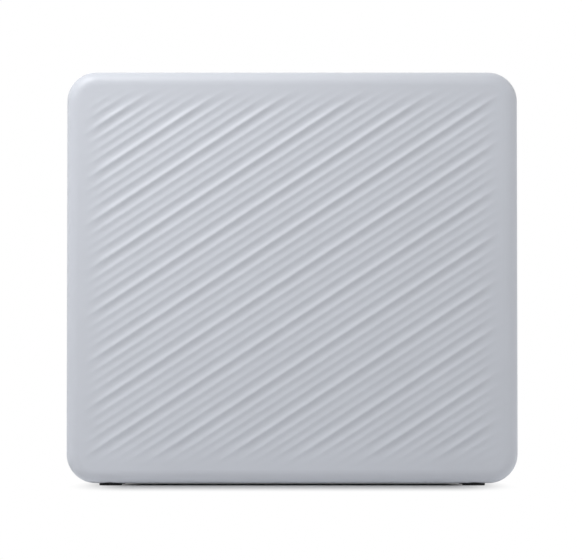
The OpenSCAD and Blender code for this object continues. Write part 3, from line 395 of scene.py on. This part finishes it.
def row_of_points(across):
    """Points on the line along the flutes at that distance across, from edge to edge of the field."""
    outside = 200.0  # no edge lies this far off
    halvings = 50
    ux, uz = math.cos(TILT), math.sin(TILT)
    wx, wz = -math.sin(TILT) * across, math.cos(TILT) * across

    # a start that lies inside the field: on the line from its middle to the tip of a corner
    r = CORNER_R - BORDER
    side = 1 if across > 0 else -1
    tip_x = side * (-ARC_X - r * math.sin(TILT))
    tip_z = side * (ARC_Z + r * math.cos(TILT))
    tip = -tip_x * math.sin(TILT) + tip_z * math.cos(TILT)
    begin = (tip_x * ux + tip_z * uz) * across / tip

    def edge(sign):
        low, high = 0.0, outside
        for _ in range(halvings):
            mid = (low + high) / 2
            if inset_of(wx + (begin + sign * mid) * ux, wz + (begin + sign * mid) * uz) > BORDER:
                low = mid
            else:
                high = mid
        return begin + sign * low

    first, last = edge(-1), edge(1)
    # closer together towards both ends, where the flutes fade
    shares = [0.5 - 0.5 * math.cos(math.pi * k / POINTS_PER_ROW) for k in range(POINTS_PER_ROW + 1)]
    along = [first + (last - first) * share for share in shares]
    return [(wx + u * ux, wz + u * uz) for u in along]


def fluted_grid():
    """Rows of points along the flutes, from the upper left corner of the field to the lower right."""
    r = CORNER_R - BORDER
    top = ARC_X * math.sin(TILT) + ARC_Z * math.cos(TILT)
    rows = int(2 * top / (PITCH / ROWS_PER_PITCH))
    corner = range(CORNER_STEP, 90, CORNER_STEP)
    across = [top + r * math.cos(math.radians(a)) for a in corner[:-1]]
    across += [top - 2 * top * k / rows for k in range(rows + 1)]
    across += [-top - r * math.sin(math.radians(a)) for a in corner]
    return [row_of_points(w) for w in across]


def join_rings(bm, outer, inner):
    """Fills the band between two closed rings of vertices round the middle of the front."""
    full_turn = 2 * math.pi

    def angle(v):
        return math.atan2(v.co.z / MM - MID_Z, v.co.x / MM)

    outer, inner = sorted(outer, key=angle), sorted(inner, key=angle)

    def turn(ring, k):
        return angle(ring[k % len(ring)]) + (full_turn if k >= len(ring) else 0)

    i = j = 0
    while i < len(outer) or j < len(inner):
        a, b = outer[i % len(outer)], inner[j % len(inner)]
        if j >= len(inner) or (i < len(outer) and turn(outer, i + 1) <= turn(inner, j + 1)):
            i += 1
            bm.faces.new((a, b, outer[i % len(outer)]))
        else:
            j += 1
            bm.faces.new((a, b, inner[j % len(inner)]))


def make_front():
    """The front cover with smooth flutes: its own walls and rounded edge, and a new front face."""
    same_place = 0.002
    slack = 0.01  # for vertices that lie on a plane
    face_depth = 0.7  # the front face lies within this of the front plane
    face_inset = EDGE_R - 0.03  # and inside the rounded edge
    on_arc = 0.05  # how near a vertex of the rounded edge lies to its arc
    seam_bevel = 0.25

    bm = bmesh.new()
    bm.from_mesh(nodes["front_cover"].data)
    bmesh.ops.remove_doubles(bm, verts=bm.verts, dist=same_place * MM)
    limit = (FRONT_Y + face_depth) * MM
    face = [f for f in bm.faces if all(v.co.y <= limit and inset(v) > face_inset for v in f.verts)]
    bmesh.ops.delete(bm, geom=face, context="FACES")
    opening = {v for e in bm.edges if len(e.link_faces) == 1 for v in e.verts}

    # the border lies a little behind the front plane, so the rounded edge moves back to meet it
    for v in bm.verts:
        short = EDGE_R - inset(v)
        depth = v.co.y / MM - FRONT_Y
        if -slack < short < EDGE_R:
            arc = EDGE_R - math.sqrt(EDGE_R**2 - max(short, 0) ** 2)
            if abs(depth - arc) < on_arc:
                v.co.y += LEVEL * (1 - depth / EDGE_R) * MM

    grid = [
        [bm.verts.new((x * MM, front_depth(x, z) * MM, (z + MID_Z) * MM)) for x, z in line]
        for line in fluted_grid()
    ]
    for upper, lower in zip(grid, grid[1:]):
        for a, b, c, d in zip(upper, upper[1:], lower[1:], lower):
            bm.faces.new((a, d, c, b))
    sides = [row[-1] for row in grid[:-1]] + [row[0] for row in grid[1:]]
    join_rings(bm, opening, grid[0][:-1] + sides + grid[-1][1:])
    bmesh.ops.recalc_face_normals(bm, faces=bm.faces)

    def on_rim(v):
        return abs(v.co.y / MM - SEAM_Y) < slack and inset(v) < 2 * slack

    rim = [e for e in bm.edges if all(on_rim(v) for v in e.verts)]
    bmesh.ops.bevel(bm, geom=rim, offset=seam_bevel * MM, segments=2, affect="EDGES", profile=0.5)
    assert all(len(e.link_faces) == 2 for e in bm.edges), "the front shell is open"
    shell = finish_piece("front_shell", bm, "case", "front_cover", "shell_plastic", sharp=32)
    weighted = shell.modifiers.new("flat_faces", "WEIGHTED_NORMAL")
    weighted.keep_sharp = True


make_front()

# ---------------------------------------------------------------- foam and pads


def finish_soft(name, bm, body, node, slot_name):
    """Finishes a piece of foam or rubber, with its faces turned outwards."""
    bmesh.ops.recalc_face_normals(bm, faces=bm.faces)
    finish_piece(name, bm, body, node, slot_name, sharp=50)


def make_seal():
    """One strip of foam up one side of the bay, across its top and down the other side."""
    strip_w = 1.4
    side_steps, top_steps, round_steps = 30, 40, 10
    ripple = 0.015  # share of its thickness by which the foam isn't even
    ripple_step = 1.9  # radians from one section to the next
    low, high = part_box("light_seal")
    half = strip_w / 2 * MM
    x, top = high.x - half, high.z - half
    thick = high.y - low.y
    rise = top - low.z
    path = [(-x, low.z + rise * k / side_steps) for k in range(side_steps)]
    path += [(-x + 2 * x * k / top_steps, top) for k in range(top_steps + 1)]
    path += [(x, top - rise * k / side_steps) for k in range(1, side_steps + 1)]
    turns = [math.pi * k / round_steps for k in range(round_steps + 1)]
    bm = bmesh.new()
    rings = []
    for i, (px, pz) in enumerate(path):
        before, after = path[max(i - 1, 0)], path[min(i + 1, len(path) - 1)]
        side = Vector((after[1] - before[1], before[0] - after[0])).normalized()
        diagonal = abs(side.x * side.y) > 0.1  # where the strip turns a corner
        mitre = math.sqrt(2) if diagonal else 1.0
        swell = 1 - ripple + ripple * math.sin(ripple_step * i)
        ring = []
        for a in turns:
            s = math.copysign(abs(math.cos(a)) ** 0.5, math.cos(a)) * half * mitre
            up = math.sqrt(math.sin(a)) * thick * swell if 0 < a < math.pi else 0
            ring.append(bm.verts.new((px + side.x * s, low.y + up, pz + side.y * s)))
        rings.append(ring)
    for a, b in zip(rings, rings[1:]):
        for k in range(len(turns)):
            after = (k + 1) % len(turns)
            bm.faces.new((a[k], a[after], b[after], b[k]))
    bm.faces.new(rings[0])
    bm.faces.new(rings[-1])
    finish_soft("bay_seal", bm, "case", "light_seal", "foam")


def make_pads():
    """Round pads with a dimple, one on the crown of each leaf spring."""
    around = 56
    low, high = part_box("pack_pads")
    radius = (high.z - low.z) / 2
    thick = high.y - low.y
    # from the middle of the front face to the middle of the back: share of the radius, share of the depth
    profile = [(0, 0.36), (0.34, 0.36), (0.46, 0.3), (0.54, 0.12), (0.6, 0.03), (0.66, 0)]
    profile += [(0.8, 0), (0.9, 0.05), (0.97, 0.16), (1, 0.34), (1, 0.85), (0.97, 1), (0, 1)]
    bm = bmesh.new()
    for x in (low.x + radius, high.x - radius):
        rings = []
        for r, deep in profile:
            ring = []
            for k in range(around if r else 1):
                a = 2 * math.pi * k / around
                across, up = radius * r * math.cos(a), radius * r * math.sin(a)
                ring.append(bm.verts.new((x + across, low.y + thick * deep, low.z + radius + up)))
            rings.append(ring)
        for a, b in zip(rings, rings[1:]):
            for k in range(around):
                quad = [a[k % len(a)], a[(k + 1) % len(a)], b[(k + 1) % len(b)], b[k % len(b)]]
                bm.faces.new(list(dict.fromkeys(quad)))
    finish_soft("spring_pads", bm, "film_door", "pack_pads", "rubber")


make_seal()
make_pads()

# ---------------------------------------------------------------- camera, in metres from here on

scene = bpy.context.scene
scene.view_settings.view_transform = "Standard"

DISTANCE = 1.10
PITCH_UP = math.radians(2.0)  # the camera stands a little lower than the middle of the printer
FRAME_WIDTH = 0.1821  # at that distance
AIM = Vector((-0.0002, 0.0, 0.06376))

camera_data = bpy.data.cameras.new("camera")
camera_data.sensor_width = 36
camera_data.lens = camera_data.sensor_width * DISTANCE / FRAME_WIDTH
camera_data.clip_start = 0.05
camera_data.clip_end = 20
camera = bpy.data.objects.new("camera", camera_data)
camera.location = AIM + Vector((0, -math.cos(PITCH_UP), -math.sin(PITCH_UP))) * DISTANCE
camera.rotation_euler = (math.radians(90) + PITCH_UP, 0, 0)
scene.collection.objects.link(camera)
scene.camera = camera

# ---------------------------------------------------------------- light

LIT = Vector((0, 0, 0.06))  # the lamps face this point
ROOM_BACK = 0.85  # light of the room behind the printer; in front, where the lamps stand, it gives none
ROOM_FROM, ROOM_TO = -0.2, 0.5  # y of the directions between which it rises


def area_light(name, at, side, power):
    data = bpy.data.lights.new(name, "AREA")
    data.shape = "RECTANGLE"
    data.size = data.size_y = side
    data.energy = power
    lamp = bpy.data.objects.new(name, data)
    lamp.location = at
    lamp.rotation_euler = (LIT - Vector(at)).to_track_quat("-Z", "Y").to_euler()
    scene.collection.objects.link(lamp)


area_light("key", (-0.22, -0.25, 0.47), side=0.18, power=2.46)
area_light("fill", (0.85, -0.2, 0.30), side=0.5, power=2.48)

studio = Nodes(bpy.data.worlds.new("studio"))
scene.world = studio.owner
toward_back = studio.add("ShaderNodeSeparateXYZ", {0: studio.direction}).outputs["Y"]
room = studio.span(toward_back, 0.0, ROOM_BACK, ROOM_FROM, ROOM_TO, interpolation_type="SMOOTHSTEP")
strength = studio.add("ShaderNodeMix", {"Factor": studio.shown(), "A": room, "B": 1.0}).outputs["Result"]
background = studio.tree.nodes["Background"]
studio.put(background.inputs["Color"], WHITE)
studio.put(background.inputs["Strength"], strength)

# ---------------------------------------------------------------- floor

FLOOR = 6  # from its middle to its edges
SHADOW_X = 0.047  # the real shadow and the painted shade on the floor fade from here outwards, on both sides
SHADOW_Y = 0.017  # and in front and behind
SHADOW_SIDE = 0.022  # over this width beside and behind the printer
SHADOW_FRONT = 0.08  # and over this in front of it
BOUNCE = (0.88, 0.88, 0.885, 1)  # colour of the floor as the printer is lit by it
PAINTED_FLOOR_SHADE = (0.3, 0.3, 0.305, 1)  # and as the camera sees it under and beside the printer: darker than it lights the printer, painted shade over the real shadow

floor_mesh = bpy.data.meshes.new("floor")
corners = [(-FLOOR, -FLOOR, 0), (FLOOR, -FLOOR, 0), (FLOOR, FLOOR, 0), (-FLOOR, FLOOR, 0)]
floor_mesh.from_pydata(corners, [], [(0, 1, 2, 3)])
floor = bpy.data.objects.new("floor", floor_mesh)
scene.collection.objects.link(floor)

paper = new_material("floor_paper")
x, y = paper.add("ShaderNodeSeparateXYZ", {0: paper.coords}).outputs[:2]
edges = [
    (paper.math("ABSOLUTE", x), SHADOW_X, SHADOW_SIDE),
    (y, SHADOW_Y, SHADOW_SIDE),
    (paper.math("MULTIPLY", y, -1.0), SHADOW_Y, SHADOW_FRONT),
]
beyond = [
    paper.math("POWER", paper.span(distance, 0.0, 1.0, edge, edge + reach), 2.0)
    for distance, edge, reach in edges
]
far = paper.math("SQRT", paper.math("ADD", paper.math("ADD", beyond[0], beyond[1]), beyond[2]))
fade = paper.span(far, 0.0, 1.0, interpolation_type="SMOOTHSTEP")
white = paper.add("ShaderNodeEmission", {"Color": WHITE, "Strength": 1.0}).outputs[0]
seen = paper.add("ShaderNodeLightPath").outputs["Is Camera Ray"]
# the camera sees the floor near the printer darker than the printer is lit by it: painted shade, which the
# white fades out further off
paper.surface(paper.mix(seen, BOUNCE, PAINTED_FLOOR_SHADE), 0.55)
blended = paper.add("ShaderNodeMixShader", {0: paper.math("MULTIPLY", fade, paper.shown())})
paper.put(blended.inputs[1], paper.shader.outputs[0])
paper.put(blended.inputs[2], white)
paper.put(paper.tree.nodes["Material Output"].inputs["Surface"], blended.outputs[0])
floor_mesh.materials.append(paper.owner)
